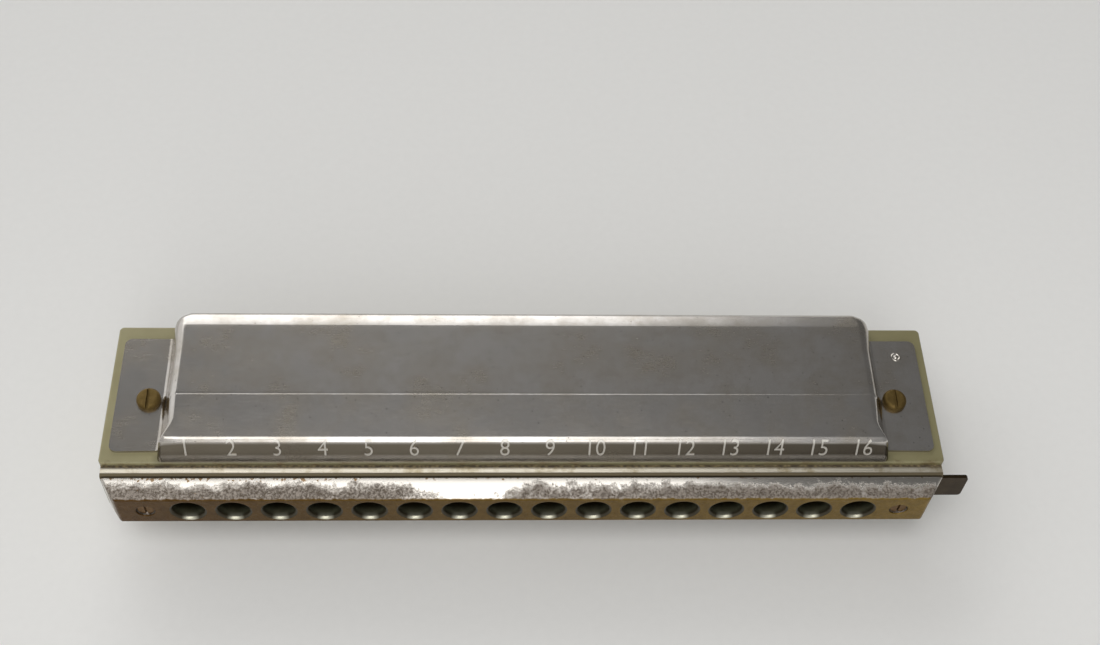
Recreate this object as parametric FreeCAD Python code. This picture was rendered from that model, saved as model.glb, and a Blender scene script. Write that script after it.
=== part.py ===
import FreeCAD, Part
import math
import os

Vector = FreeCAD.Vector

# A sixteen-hole chromatic harmonica, in millimetres.
# While the pieces are made, X runs along the instrument to the slide's push end, Y runs from the
# comb's front face (Y = 0) to its back, and Z = 0 is the middle of the comb's height.
# place_on_table() then moves every piece so that the origin is the middle of the flat of the lower cover.

# ------------------------------------------------------------------ driving dimensions

# Mouth holes and cells
hole_count = 16
hole_pitch = 9.5            # from one mouth hole to the next
mouth_web = 1.5             # metal between two mouth holes at the lips
inner_wall = 1.0            # comb wall between the two cells of one hole
outer_wall = 1.5            # comb wall between two holes, wide enough for a nail
partition = 1.2             # comb wall between the upper and the lower cells
mouth_height = 3.8          # height of a cell at the comb's front face

# Comb
comb_depth = 34.6
comb_height = 14.0
comb_end = 13.8             # comb beyond the last cell at each end
comb_corner_radius = 1.0
comb_edge_radius = 0.4

# Reed plates, sunk flush into the comb
plate_thickness = 1.0
plate_front = 3.0           # comb rim in front of the plate
plate_back_rim = 3.1        # comb rim behind the plate
plate_overhang = 0.4        # plate beyond the last cell at each end
plate_fit = 0.1             # gap round the plate in its recess
plate_seat = 1.0            # comb ledge under the plate's front edge

# Reeds, rivets, valves and nails
slot_width = 2.2
shortest_slot = 8.5         # at the highest hole
reed_thickness = 0.25
reed_side_gap = 0.05        # between a reed's tongue and its slot
reed_tip_gap = 0.3
pad_length = 3.2            # riveted end of a reed
pad_width = 3.0
pad_to_cell_end = 0.4
rivet_radius = 0.5
rivet_head_radius = 0.8
rivet_head_height = 0.3
valve_thickness = 0.2
valve_width = 3.0
valve_glued = 0.7           # stretch glued down beyond the slot
valve_overlap = 0.6         # free stretch beyond the slot
nail_radius = 0.5
nail_length = 5.0
nail_head_radius = 0.9
nail_head_height = 0.4
nail_inset = 1.6            # from the plate's front and back edges
nail_spacing = 3            # one nail every so many holes

# Covers, pressed from one sheet each
cover_sheet = 0.6
cover_rise = 8.0            # from the comb to the flat of the cover
cover_front_drop = 1.6      # the cover's front edge is this much lower than its flat
cover_front = 0.2           # comb rim in front of the cover's front wall, at its foot
cover_front_lean = 1.9      # the front wall leans back by this much
cover_back_rim = 1.7        # comb rim behind the cover
crease_back = 13.3          # from the comb's front face to the crease
front_bend_radius = 1.2
back_bend_radius = 3.0
cover_side = 1.6            # cover beyond the last cell at its foot
side_lean = 3.4             # each side wall leans in by this much
front_end_lean = 0.9        # and by this much at the front corners
front_corner_length = 5.6   # the corner gusset, from the front wall to the leaning side
cover_side_radius = 0.5
hem_radius = 0.55           # rolled edge along the sound opening
opening_end = 4.0           # back wall left at each end of the sound opening
flange_end_rim = 1.9        # comb rim beyond the flange
flange_front = 2.5
flange_back_rim = 3.6
flange_corner_radius = 1.6

# Cover bolts and nuts
bolt_end = 8.9              # from the comb's end
bolt_back = 15.0            # from the comb's front face
bolt_radius = 1.2
bolt_fit = 0.1
bolt_head_radius = 2.6
bolt_head_height = 1.5
bolt_head_round = 0.9
bolt_slot_width = 0.7
bolt_slot_depth = 0.6
nut_flats = 5.0
nut_height = 2.0
bolt_tip = 0.3              # beyond the nut

# Slide and its housing
seal_thickness = 0.6
back_plate_thickness = 0.6
slide_thickness = 0.8
running_clearance = 0.05    # on each face of the slide
channel_sheet = 0.6
channel_height = 12.0
channel_bend_radius = 0.9
housing_end_rim = 0.5       # comb beyond the housing at each end
window_height = 3.4
window_land = 0.95          # solid slide between an open and a closed window
slide_end_spare = 0.4       # the slide's body stays this far inside the housing
tab_height = 7.6            # push end of the slide
tab_length = 6.2            # beyond the housing
tab_corner_radius = 0.8

# Mouthpiece and its screws
mouthpiece_depth = 4.95
mouthpiece_back_height = 12.4
mouth_margin = 0.8          # metal above and below a mouth hole
mouthpiece_end_taper = 3.3
mouthpiece_edge_radius = 0.4
mouth_lip = 0.4             # rounding of each mouth hole's rim
screw_from_cells = 4.1      # from the end of the cells to the screw
screw_radius = 0.9
screw_fit = 0.05
screw_head_radius = 1.7
screw_head_height = 0.9
screw_recess_radius = 2.0
screw_recess_depth = 1.3
screw_in_comb = 9.0
screw_slot_width = 0.5
screw_slot_depth = 0.4
bumper_radius = 1.6

# Slide spring and its post, in a pocket at the right end of the comb
post_end = 4.2              # from the comb's end
post_back = 8.6             # from the comb's front face
post_radius = 0.7
post_below = 6.0            # the post's foot, below the middle of the comb
post_cap = 0.2              # the post's top, below the comb's top
wire_radius = 0.35
coil_gap = 0.2              # between the post and the coil
coil_turns = 2.25
coil_pitch = 0.8
spring_level = -4.2         # height of the leg that moves the slide
spring_hole_end = 1.9       # from the comb's end to the slide's spring hole
spring_hole_fit = 0.25
spring_leg_ahead = 0.4      # the leg's tip, in front of the slide
anchor_leg = 2.4
pocket_wall = 1.2           # comb left beyond the pocket
pocket_room = 0.8           # above and below the spring

overcut = 1.0               # how far cutting tools run past the faces they cut

# ------------------------------------------------------------------ sizes that follow

hole_places = [(index - (hole_count - 1) / 2) * hole_pitch for index in range(hole_count)]
field_half = hole_count * hole_pitch / 2
comb_half = field_half + comb_end
half_height = comb_height / 2

cell_width = (hole_pitch - inner_wall - outer_wall) / 2
cell_offset = (cell_width + inner_wall) / 2
mouth_top = partition / 2 + mouth_height

plate_half = field_half + plate_overhang
plate_back = comb_depth - plate_back_rim
plate_floor = half_height - plate_thickness
slot_front = plate_front + plate_seat + pad_to_cell_end + pad_length
longest_slot = plate_back - plate_seat - pad_to_cell_end - pad_length - slot_front

cover_base_half = field_half + cover_side
cover_back = comb_depth - cover_back_rim
cover_top = half_height + cover_rise
flange_half = comb_half - flange_end_rim
flange_back = comb_depth - flange_back_rim
opening_top = cover_top - back_bend_radius
flat_back = cover_back - back_bend_radius

bolt_place = comb_half - bolt_end
flange_top = half_height + cover_sheet

travel = hole_pitch / 2
window_width = travel - window_land
window_middle = (partition + mouth_height) / 2
housing_half = comb_half - housing_end_rim
slide_gap = slide_thickness + 2 * running_clearance
back_plate_front = -seal_thickness - back_plate_thickness
slide_back = back_plate_front - running_clearance
slide_front = slide_back - slide_thickness
channel_inside = back_plate_front - slide_gap
channel_front = channel_inside - channel_sheet
channel_inner_half = channel_height / 2 - channel_sheet
slide_half_height = channel_inner_half - running_clearance
slide_shoulder = housing_half - slide_end_spare
slide_left_end = -housing_half + travel + slide_end_spare

mouth_rim_radius = (hole_pitch - mouth_web) / 2
mouth_radius = mouth_rim_radius - mouth_lip
mouthpiece_front = channel_front - mouthpiece_depth
mouthpiece_front_height = 2 * (mouth_rim_radius + mouth_margin)
screw_place = field_half + screw_from_cells
screw_seat = mouthpiece_front + screw_recess_depth

post_place = comb_half - post_end
coil_radius = post_radius + coil_gap + wire_radius
coil_height = coil_turns * coil_pitch
spring_hole_place = comb_half - spring_hole_end
spring_hole_radius = wire_radius + spring_hole_fit
pocket_right = comb_half - pocket_wall
pocket_left = spring_hole_place - travel - spring_hole_radius
pocket_back = post_back + coil_radius + wire_radius
pocket_bottom = spring_level - pocket_room
pocket_top = spring_level + coil_height + pocket_room


# ------------------------------------------------------------------ shapes used by several pieces

def block(x_range, y_range, z_range):
    """Box between three pairs of limits, each pair in either order."""
    low = Vector(min(x_range), min(y_range), min(z_range))
    high = Vector(max(x_range), max(y_range), max(z_range))
    size = high - low
    return Part.makeBox(size.x, size.y, size.z, low)


def rounded_block(x_range, y_range, z_range, radius):
    """Box whose four upright edges are rounded."""
    box = block(x_range, y_range, z_range)
    upright = [edge for edge in box.Edges if edge.BoundBox.ZLength > edge.Length / 2]
    return box.makeFillet(radius, upright)


def rod(radius, start, end):
    """Round bar between two points."""
    return Part.makeCylinder(radius, (end - start).Length, start, end - start)


def rounded_outline(corners):
    """Closed wire through (point, radius) corners; a radius of 0 leaves the corner sharp."""
    joints = []
    for index, (corner, radius) in enumerate(corners):
        before = (corners[index - 1][0] - corner).normalize()
        after = (corners[(index + 1) % len(corners)][0] - corner).normalize()
        half_angle = before.getAngle(after) / 2
        reach = radius / math.tan(half_angle)
        middle = corner
        if radius > 0:
            inwards = (before + after).normalize()
            middle = corner + inwards * (radius / math.sin(half_angle) - radius)
        joints.append((corner + before * reach, middle, corner + after * reach, radius))
    edges = []
    for index, (start, middle, end, radius) in enumerate(joints):
        if radius > 0:
            edges.append(Part.Arc(start, middle, end).toShape())
        edges.append(Part.makeLine(end, joints[(index + 1) % len(joints)][0]))
    return Part.Wire(edges)


def slot_length(index):
    """Length of the reed slots of one hole: long for the low notes, short for the high ones."""
    return longest_slot + (shortest_slot - longest_slot) * index / (hole_count - 1)


def cells():
    """Every cell of one level: the hole's index, the cell's middle, and whether it is blown or drawn."""
    found = []
    for index, place in enumerate(hole_places):
        found.append((index, place - cell_offset, "blow"))
        found.append((index, place + cell_offset, "draw"))
    return found


def both_ends(place):
    return (-place, place)


def nail_places():
    """Nails stand in the walls between holes, in a row along the plate's front and back edges."""
    walls = [place + hole_pitch / 2 for place in hole_places[1:-1:nail_spacing]]
    rows = (plate_front + nail_inset, plate_back - nail_inset)
    return [Vector(wall, row, half_height) for wall in walls for row in rows]


def mirrored(solids):
    """The same pieces on the underside of the comb."""
    return [solid.mirror(Vector(0, 0, 0), Vector(0, 0, 1)) for solid in solids]


# ------------------------------------------------------------------ comb

def comb():
    sides = (-comb_half, comb_half)
    body = rounded_block(sides, (0, comb_depth), (-half_height, half_height), comb_corner_radius)
    rims = [edge for edge in body.Edges if abs(abs(edge.CenterOfMass.z) - half_height) < 0.01]
    body = body.makeFillet(comb_edge_radius, rims)
    tools = []
    for level in (1, -1):
        recess_half = plate_half + plate_fit
        recess_height = (level * plate_floor, level * (half_height + overcut))
        tools.append(block((-recess_half, recess_half), (plate_front, plate_back), recess_height))
        for index, middle, kind in cells():
            across = (middle - cell_width / 2, middle + cell_width / 2)
            end = slot_front + slot_length(index) + pad_length + pad_to_cell_end
            mouth = (level * partition / 2, level * mouth_top)
            chamber = (level * mouth_top, level * (plate_floor + overcut))
            tools.append(block(across, (-overcut, end), mouth))
            tools.append(block(across, (plate_front + plate_seat, end), chamber))
        for nail in nail_places():
            foot = Vector(nail.x, nail.y, level * (half_height + nail_head_height - nail_length))
            tools.append(rod(nail_radius, foot, Vector(nail.x, nail.y, level * (half_height + overcut))))
    for place in both_ends(bolt_place):
        bolt_line = Vector(place, bolt_back, half_height + overcut)
        tools.append(rod(bolt_radius + bolt_fit, Vector(place, bolt_back, -half_height - overcut), bolt_line))
    for place in both_ends(screw_place):
        tools.append(rod(screw_radius, Vector(place, -overcut, 0), Vector(place, screw_in_comb, 0)))
    tools.append(block((pocket_left, pocket_right), (-overcut, pocket_back), (pocket_bottom, pocket_top)))
    post_foot = Vector(post_place, post_back, -post_below)
    tools.append(rod(post_radius, post_foot, Vector(post_place, post_back, half_height + overcut)))
    return [body.cut(tools)]


# ------------------------------------------------------------------ reed plates and what they carry

def reed_plate():
    depth = (plate_front + plate_fit, plate_back - plate_fit)
    plate = block((-plate_half, plate_half), depth, (plate_floor, half_height))
    through = (plate_floor - overcut, half_height + overcut)
    tools = []
    for index, middle, kind in cells():
        slot = (slot_front, slot_front + slot_length(index))
        tools.append(block((middle - slot_width / 2, middle + slot_width / 2), slot, through))
        rivet = rivet_line(index, middle, kind)
        tools.append(rod(rivet_radius, rivet + Vector(0, 0, through[0]), rivet + Vector(0, 0, through[1])))
    for nail in nail_places():
        below = nail - Vector(0, 0, plate_thickness + overcut)
        tools.append(rod(nail_radius, below, nail + Vector(0, 0, overcut)))
    return [plate.cut(tools)]


def rivet_line(index, middle, kind):
    """Blow reeds are riveted behind their slot, draw reeds in front of it."""
    if kind == "draw":
        return Vector(middle, slot_front - pad_length / 2, 0)
    return Vector(middle, slot_front + slot_length(index) + pad_length / 2, 0)


def reeds(wanted):
    """Blow reeds lie on the cell side of the plate, draw reeds on the cover side."""
    made = []
    for index, middle, kind in cells():
        if kind != wanted:
            continue
        slot_end = slot_front + slot_length(index)
        if kind == "draw":
            pad = (slot_front - pad_length, slot_front)
            tongue = (slot_front, slot_end - reed_tip_gap)
            height = (half_height, half_height + reed_thickness)
        else:
            pad = (slot_end, slot_end + pad_length)
            tongue = (slot_front + reed_tip_gap, slot_end)
            height = (plate_floor - reed_thickness, plate_floor)
        half_tongue = slot_width / 2 - reed_side_gap
        strip = block((middle - half_tongue, middle + half_tongue), tongue, height)
        root = block((middle - pad_width / 2, middle + pad_width / 2), pad, height)
        rivet = rivet_line(index, middle, kind)
        rivet_hole = rod(rivet_radius, rivet, rivet + Vector(0, 0, half_height + overcut))
        made.append(strip.fuse(root).removeSplitter().cut(rivet_hole).Solids[0])
    return made


def reed_rivets():
    """One rivet a reed: a shank through plate and pad with a head on each side."""
    made = []
    for index, middle, kind in cells():
        low = plate_floor
        high = half_height
        if kind == "draw":
            high += reed_thickness
        else:
            low -= reed_thickness
        line = rivet_line(index, middle, kind)
        shank = rod(rivet_radius, line + Vector(0, 0, low), line + Vector(0, 0, high))
        heads = []
        for foot, rise in ((high, rivet_head_height), (low, -rivet_head_height)):
            heads.append(rod(rivet_head_radius, line + Vector(0, 0, foot), line + Vector(0, 0, foot + rise)))
        made.append(shank.fuse(heads).removeSplitter().Solids[0])
    return made


def valves(wanted):
    """A valve covers each slot on the side away from the reed, glued at the reed's riveted end."""
    made = []
    for index, middle, kind in cells():
        if kind != wanted:
            continue
        slot_end = slot_front + slot_length(index)
        if kind == "blow":
            along = (slot_front - valve_overlap, slot_end + valve_glued)
            height = (half_height, half_height + valve_thickness)
        else:
            along = (slot_front - valve_glued, slot_end + valve_overlap)
            height = (plate_floor - valve_thickness, plate_floor)
        made.append(block((middle - valve_width / 2, middle + valve_width / 2), along, height))
    return made


def plate_nails():
    made = []
    for nail in nail_places():
        top = nail + Vector(0, 0, nail_head_height)
        head = rod(nail_head_radius, nail, top)
        shank = rod(nail_radius, top - Vector(0, 0, nail_length), top)
        made.append(head.fuse(shank).removeSplitter().Solids[0])
    return made


# ------------------------------------------------------------------ covers, bolts and nuts

def side_section(place, foot_half, lean):
    """Cross-section of the cover's side walls, run past the foot and the top."""
    slope = lean / cover_rise
    low = half_height - overcut
    high = cover_top + overcut
    low_half = foot_half + slope * overcut
    high_half = foot_half - lean - slope * overcut
    points = [(-low_half, low), (low_half, low), (high_half, high), (-high_half, high)]
    corners = [Vector(x, place, z) for x, z in points]
    return Part.makePolygon(corners + corners[:1])


def cover_body(inset):
    """The cover's hollow form, drawn in by inset on every side; the foot is run down by the same amount."""
    foot = half_height - inset
    front_top = cover_top - cover_front_drop - inset
    outline = rounded_outline([
        (Vector(0, cover_front + inset, foot), 0),
        (Vector(0, cover_front + cover_front_lean + inset, front_top), front_bend_radius - inset),
        (Vector(0, crease_back, cover_top - inset), 0),
        (Vector(0, cover_back - inset, cover_top - inset), back_bend_radius - inset),
        (Vector(0, cover_back - inset, foot), 0),
    ])
    across = Part.Face(outline).extrude(Vector(2 * comb_half, 0, 0))
    across.translate(Vector(-comb_half, 0, 0))
    base = cover_base_half - inset
    sections = [
        side_section(cover_front - cover_sheet, base, front_end_lean),
        side_section(cover_front + front_corner_length, base, side_lean),
        side_section(comb_depth, base, side_lean),
    ]
    return across.common(Part.makeLoft(sections, True, True))


def shoulder_edges(body):
    """The chain of edges where each side wall meets the front, the top and the back."""
    found = []
    for edge in body.Edges:
        ends = [vertex.Point for vertex in edge.Vertexes]
        outside = min(abs(end.x) for end in ends) > field_half - side_lean
        one_side = ends[0].x * ends[-1].x > 0
        above_foot = max(end.z for end in ends) > half_height + 0.01
        directions = []
        for face in body.Faces:
            if any(other.isSame(edge) for other in face.Edges):
                directions.append(abs(face.normalAt(*face.Surface.parameter(edge.CenterOfMass)).x))
        between = len(directions) == 2 and min(directions) < 0.2 < max(directions)
        if outside and one_side and above_foot and between:
            found.append(edge)
    return found


def upper_cover():
    shell = cover_body(0)
    shell = shell.makeFillet(cover_side_radius, shoulder_edges(shell))
    flange_depth = (flange_front, flange_back)
    flanges = []
    for side in (-1, 1):
        inner = side * (cover_base_half - cover_sheet)
        height = (half_height, flange_top)
        flanges.append(rounded_block((inner, side * flange_half), flange_depth, height, flange_corner_radius))
    opening_half = cover_base_half - opening_end
    behind = (flat_back, comb_depth)
    opening = block((-opening_half, opening_half), behind, (half_height - overcut, opening_top))
    hem_line = Vector(0, cover_back - hem_radius, opening_top + hem_radius)
    hem_reach = Vector(opening_half, 0, 0)
    hem = rod(hem_radius, hem_line - hem_reach, hem_line + hem_reach)
    tools = [cover_body(cover_sheet), opening]
    for place in both_ends(bolt_place):
        bolt_line = Vector(place, bolt_back, half_height - overcut)
        tools.append(rod(bolt_radius + bolt_fit, bolt_line, bolt_line + Vector(0, 0, cover_rise)))
    return [shell.fuse(flanges).cut(tools).fuse(hem).removeSplitter()]


def cover_bolts():
    made = []
    for place in both_ends(bolt_place):
        seat = Vector(place, bolt_back, flange_top)
        crown = seat + Vector(0, 0, bolt_head_height)
        head = rod(bolt_head_radius, seat, crown)
        rim = [edge for edge in head.Edges if edge.CenterOfMass.z > crown.z - 0.01]
        head = head.makeFillet(bolt_head_round, rim)
        across = (place - bolt_slot_width / 2, place + bolt_slot_width / 2)
        along = (bolt_back - bolt_head_radius, bolt_back + bolt_head_radius)
        slot = block(across, along, (crown.z - bolt_slot_depth, crown.z + overcut))
        tip = Vector(place, bolt_back, -flange_top - nut_height - bolt_tip)
        made.append(head.cut(slot).fuse(rod(bolt_radius, tip, seat)).removeSplitter().Solids[0])
    return made


def cover_nuts():
    made = []
    for place in both_ends(bolt_place):
        seat = Vector(place, bolt_back, -flange_top)
        corner = Vector(nut_flats / 2 / math.cos(math.pi / 6), 0, 0)
        turn = FreeCAD.Rotation(Vector(0, 0, 1), 60)
        corners = [corner]
        for step in range(6):
            corners.append(turn.multVec(corners[-1]))
        outline = Part.makePolygon([seat + point for point in corners[:6] + corners[:1]])
        nut = Part.Face(outline).extrude(Vector(0, 0, -nut_height))
        below = seat - Vector(0, 0, nut_height + overcut)
        made.append(nut.cut(rod(bolt_radius, below, seat + Vector(0, 0, overcut))))
    return made


# ------------------------------------------------------------------ slide, its housing and its spring

def window(middle, level, y_range):
    """One air window of the upper (level 1) or lower (level -1) row."""
    across = (middle - window_width / 2, middle + window_width / 2)
    heights = (level * (window_middle - window_height / 2), level * (window_middle + window_height / 2))
    return block(across, y_range, heights)


def spring_way(y_range):
    """Slot for the spring's leg, as long as the slide's travel."""
    reach = spring_hole_radius
    heights = (spring_level - reach, spring_level + reach)
    return block((spring_hole_place - travel - reach, spring_hole_place + reach), y_range, heights)


def windowed_plate(half_plate_height, back, front):
    """Flat plate with both rows of windows, the two screw holes and the slot for the spring."""
    plate = block((-housing_half, housing_half), (back, front), (-half_plate_height, half_plate_height))
    through = (back + overcut, front - overcut)
    tools = [window(place, level, through) for place in hole_places for level in (1, -1)]
    for place in both_ends(screw_place):
        tools.append(rod(screw_radius + screw_fit, Vector(place, through[0], 0), Vector(place, through[1], 0)))
    tools.append(spring_way(through))
    return plate.cut(tools)


def slide_seal():
    return [windowed_plate(channel_height / 2, 0, -seal_thickness)]


def slide_back_plate():
    return [windowed_plate(channel_inner_half, -seal_thickness, back_plate_front)]


def slide_channel():
    """Sheet folded back along both long edges, over the back plate and down to the seal."""
    outer = channel_height / 2
    bend = channel_bend_radius
    profile = rounded_outline([
        (Vector(0, -seal_thickness, -outer), 0),
        (Vector(0, channel_front, -outer), bend),
        (Vector(0, channel_front, outer), bend),
        (Vector(0, -seal_thickness, outer), 0),
        (Vector(0, -seal_thickness, channel_inner_half), 0),
        (Vector(0, channel_inside, channel_inner_half), 0),
        (Vector(0, channel_inside, -channel_inner_half), 0),
        (Vector(0, -seal_thickness, -channel_inner_half), 0),
    ])
    folded = Part.Face(profile).extrude(Vector(2 * housing_half, 0, 0))
    folded.translate(Vector(-housing_half, 0, 0))
    through = (channel_inside + overcut, channel_front - overcut)
    tools = []
    for place in hole_places:
        across = (place - window_width / 2, place + window_width / 2)
        tall = window_middle + window_height / 2
        tools.append(block(across, through, (-tall, tall)))
    for place in both_ends(screw_place):
        tools.append(rod(screw_radius + screw_fit, Vector(place, through[0], 0), Vector(place, through[1], 0)))
    tools.append(spring_way(through))
    return [folded.cut(tools)]


def slide():
    """Chequered windows: the upper row is open at rest, the lower row after half a hole pitch."""
    thickness = (slide_back, slide_front)
    body = block((slide_left_end, slide_shoulder), thickness, (-slide_half_height, slide_half_height))
    tab = block((slide_shoulder, housing_half + tab_length), thickness, (-tab_height / 2, tab_height / 2))
    tab_end = housing_half + tab_length
    free_edges = [edge for edge in tab.Edges if edge.BoundBox.XMin > tab_end - 0.01]
    corners = [edge for edge in free_edges if edge.BoundBox.YLength > edge.Length / 2]
    body = body.fuse(tab.makeFillet(tab_corner_radius, corners)).removeSplitter()
    through = (slide_back + overcut, slide_front - overcut)
    tools = []
    for place in hole_places:
        tools.append(window(place, 1, through))
        tools.append(window(place + travel, -1, through))
    slot_reach = bumper_radius + running_clearance
    for place in both_ends(screw_place):
        near = Vector(place, through[0], 0)
        far = near + Vector(travel, 0, 0)
        across = Vector(0, through[1] - through[0], 0)
        tools.append(rod(slot_reach, near, near + across))
        tools.append(rod(slot_reach, far, far + across))
        tools.append(block((near.x, far.x), through, (-slot_reach, slot_reach)))
    hole = Vector(spring_hole_place, through[0], spring_level)
    tools.append(rod(spring_hole_radius, hole, hole + Vector(0, through[1] - through[0], 0)))
    return [body.cut(tools)]


def slide_bumpers():
    """Rubber sleeves on the screws; the slide's slots stop against them at both ends of the travel."""
    made = []
    for place in both_ends(screw_place):
        back = Vector(place, back_plate_front, 0)
        front = Vector(place, channel_inside, 0)
        made.append(rod(bumper_radius, back, front).cut(rod(screw_radius, back, front)))
    return made


def slide_spring():
    """Wire coil on the post: one leg moves the slide, the other bears on the back of the pocket."""
    axis = Vector(post_place, post_back, spring_level)
    helix = Part.makeHelix(coil_pitch, coil_height, coil_radius)
    start = Vector(coil_radius, 0, 0)
    rise = coil_pitch / (2 * math.pi * coil_radius)
    section = Part.Wire(Part.makeCircle(wire_radius, start, Vector(0, 1, rise)))
    coil = Part.Wire(helix).makePipeShell([section], True, True)
    coil.translate(axis)
    root = axis + start
    tip = Vector(spring_hole_place, slide_front - spring_leg_ahead, spring_level)
    anchor_root = axis + Vector(0, coil_radius, coil_height)
    anchor_tip = anchor_root - Vector(anchor_leg, 0, 0)
    bends = [Part.makeSphere(wire_radius, root), Part.makeSphere(wire_radius, anchor_root)]
    legs = [rod(wire_radius, root, tip), rod(wire_radius, anchor_root, anchor_tip)]
    return [coil.fuse(bends + legs).Solids[0]]


def spring_post():
    foot = Vector(post_place, post_back, -post_below)
    return [rod(post_radius, foot, Vector(post_place, post_back, half_height - post_cap))]


# ------------------------------------------------------------------ mouthpiece and its screws

def tapered_bar(back, front):
    """Bar between two rectangles, each given as (place along Y, half length, half height)."""
    rings = []
    for place, half_length, half_tall in (back, front):
        low_left = Vector(-half_length, place, -half_tall)
        low_right = Vector(half_length, place, -half_tall)
        high_right = Vector(half_length, place, half_tall)
        high_left = Vector(-half_length, place, half_tall)
        rings.append([low_left, low_right, high_right, high_left])
    outlines = [rings[0][::-1], rings[1]]
    for index in range(4):
        following = (index + 1) % 4
        outlines.append([rings[0][index], rings[0][following], rings[1][following], rings[1][index]])
    faces = [Part.Face(Part.makePolygon(outline + outline[:1])) for outline in outlines]
    return Part.makeSolid(Part.makeShell(faces))


def mouthpiece():
    back_face = (channel_front, housing_half, mouthpiece_back_height / 2)
    front_face = (mouthpiece_front, housing_half - mouthpiece_end_taper, mouthpiece_front_height / 2)
    bar = tapered_bar(back_face, front_face)
    bar = bar.makeFillet(mouthpiece_edge_radius, bar.Edges)
    tools = []
    for place in hole_places:
        back = Vector(place, channel_front + overcut, 0)
        tools.append(rod(mouth_radius, back, Vector(place, mouthpiece_front - overcut, 0)))
        flare = Part.makeCone(mouth_radius, mouth_rim_radius + mouth_lip, 2 * mouth_lip,
                              Vector(place, mouthpiece_front + mouth_lip, 0), Vector(0, -1, 0))
        tools.append(flare)
    for place in both_ends(screw_place):
        back = Vector(place, channel_front + overcut, 0)
        seat = Vector(place, screw_seat, 0)
        tools.append(rod(screw_radius + screw_fit, back, seat))
        tools.append(rod(screw_recess_radius, seat, seat - Vector(0, screw_recess_depth + overcut, 0)))
    return [bar.cut(tools)]


def mouthpiece_screws():
    made = []
    for place in both_ends(screw_place):
        seat = Vector(place, screw_seat, 0)
        crown = screw_seat - screw_head_height
        head = rod(screw_head_radius, seat, Vector(place, crown, 0))
        across = (place - screw_slot_width / 2, place + screw_slot_width / 2)
        along = (-screw_head_radius, screw_head_radius)
        slot = block(across, (crown + screw_slot_depth, crown - overcut), along)
        shank = rod(screw_radius, seat, Vector(place, screw_in_comb, 0))
        made.append(head.cut(slot).fuse(shank).removeSplitter().Solids[0])
    return made


# ------------------------------------------------------------------ the finished instrument

upper_pieces = {
    "reed_plate": reed_plate(),
    "blow_reeds": reeds("blow"),
    "draw_reeds": reeds("draw"),
    "reed_rivets": reed_rivets(),
    "outer_valves": valves("blow"),
    "inner_valves": valves("draw"),
    "plate_nails": plate_nails(),
    "cover": upper_cover(),
}

pieces = {
    "comb": comb(),
    "cover_bolts": cover_bolts(),
    "cover_nuts": cover_nuts(),
    "slide_seal": slide_seal(),
    "slide_back_plate": slide_back_plate(),
    "slide_channel": slide_channel(),
    "slide": slide(),
    "slide_bumpers": slide_bumpers(),
    "slide_spring": slide_spring(),
    "spring_post": spring_post(),
    "mouthpiece": mouthpiece(),
    "mouthpiece_screws": mouthpiece_screws(),
}
for name, solids in upper_pieces.items():
    pieces["upper_" + name] = solids
    pieces["lower_" + name] = mirrored(solids)


def place_on_table(solids):
    """The origin becomes the middle of the lower cover's flat."""
    shift = Vector(0, -(crease_back + flat_back) / 2, cover_top)
    return Part.makeCompound([solid.translated(shift) for solid in solids])


os.makedirs("parts", exist_ok=True)
for name, solids in pieces.items():
    place_on_table(solids).exportStep("parts/" + name + ".step")
print("written", len(pieces), "pieces; comb front face at y =", -(crease_back + flat_back) / 2)
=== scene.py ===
import math

import bmesh
import bpy
from mathutils import Matrix, Vector


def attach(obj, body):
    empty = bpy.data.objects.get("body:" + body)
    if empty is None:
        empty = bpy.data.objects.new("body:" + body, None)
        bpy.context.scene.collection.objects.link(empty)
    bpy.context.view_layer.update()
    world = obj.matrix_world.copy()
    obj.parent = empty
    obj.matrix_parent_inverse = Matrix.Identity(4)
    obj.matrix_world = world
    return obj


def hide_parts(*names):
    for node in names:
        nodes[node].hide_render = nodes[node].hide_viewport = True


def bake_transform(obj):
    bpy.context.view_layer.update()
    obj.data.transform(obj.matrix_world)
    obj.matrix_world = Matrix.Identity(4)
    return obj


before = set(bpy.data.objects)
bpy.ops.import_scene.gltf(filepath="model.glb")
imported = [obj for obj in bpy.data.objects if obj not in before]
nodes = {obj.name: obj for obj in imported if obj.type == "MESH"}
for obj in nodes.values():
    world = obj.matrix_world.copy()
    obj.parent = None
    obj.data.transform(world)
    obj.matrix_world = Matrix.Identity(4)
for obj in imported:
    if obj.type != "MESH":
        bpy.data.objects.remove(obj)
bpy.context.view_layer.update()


# ------------------------------------------------------------------ comb
# The body of the instrument: one block of cream plastic with sixteen pairs of reed cells.
# Moulded, then milled flat on both faces. Age has turned it yellow, and dirt sits along its front rim.

mm = 0.001


def linear(hex_colour):
    """An sRGB hex colour as linear light."""
    channels = [int(hex_colour[i:i + 2], 16) / 255 for i in (1, 3, 5)]
    return [c / 12.92 if c <= 0.04045 else ((c + 0.055) / 1.055) ** 2.4 for c in channels] + [1.0]


def node(tree, kind, inputs=None, **settings):
    """Adds a shader node with its settings; an input is a value or another node's output."""
    made = tree.nodes.new("ShaderNode" + kind)
    for setting, value in settings.items():
        setattr(made, setting, value)
    for socket, value in (inputs or {}).items():
        if isinstance(value, bpy.types.NodeSocket):
            tree.links.new(value, made.inputs[socket])
        else:
            made.inputs[socket].default_value = value
    return made


def new_material(name):
    """A material with its tree, its shader and the place on the object that its patterns follow."""
    material = bpy.data.materials.new(name)
    material.use_nodes = True
    tree = material.node_tree
    place = node(tree, "TexCoord").outputs["Object"]
    return material, tree, tree.nodes["Principled BSDF"], place


def finish_of(material, *names):
    """Gives CAD nodes their material."""
    for name in names:
        nodes[name].data.materials.clear()
        nodes[name].data.materials.append(material)


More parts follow.
